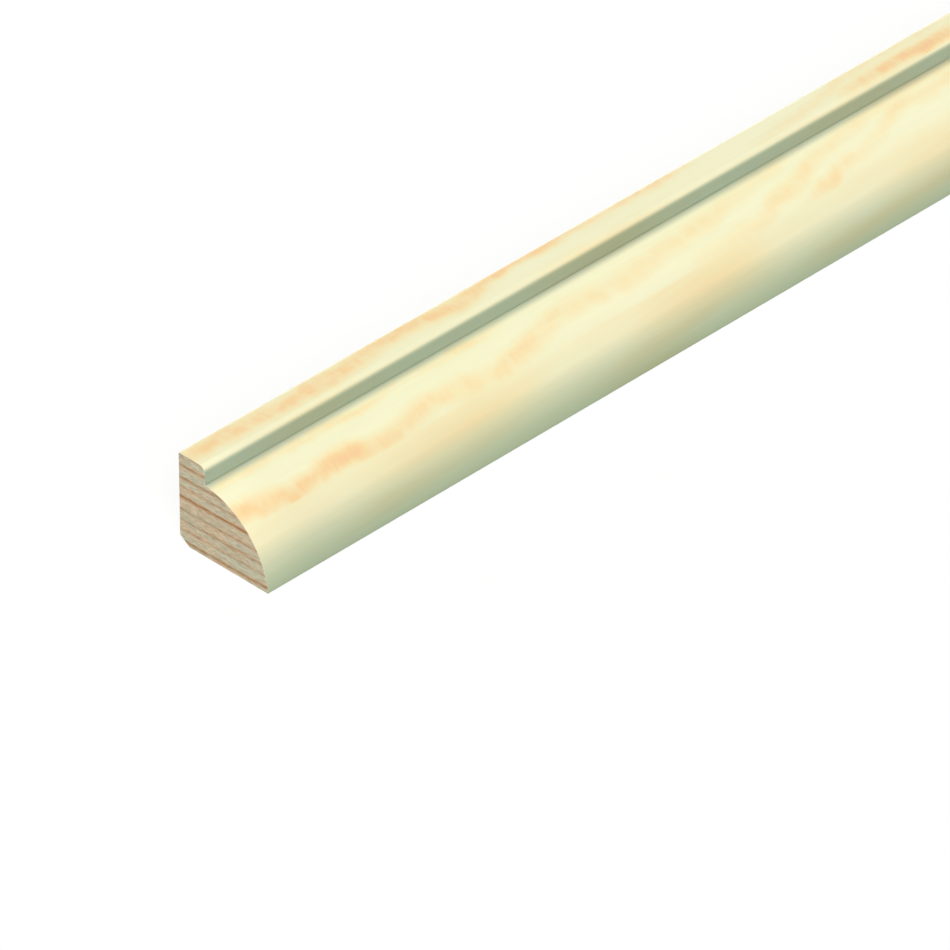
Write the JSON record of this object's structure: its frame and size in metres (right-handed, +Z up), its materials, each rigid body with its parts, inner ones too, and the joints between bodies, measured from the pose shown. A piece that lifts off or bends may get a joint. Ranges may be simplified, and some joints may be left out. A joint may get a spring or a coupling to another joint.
{
  "type": "glazing bead",
  "caption": "Straight softwood glazing bead with an ovolo face, a quirk under a rounded top edge and a chamfered heel, pinned into a rebate to hold a pane of glass.",
  "frame": {"origin": "under the middle of the bead's length, centred between the glass face and the toe, on the plane of the bed face", "axes": "+X along the length, +Y towards the glass, -Y towards the room and the moulded face, +Z up from the bed of the rebate"},
  "size_m": [1, 0.016, 0.014],
  "materials": {
    "planed_pine": "matte"
  },
  "bodies": {
    "root": {"glazing_bead": "planed_pine"}
  },
  "joints": []
}
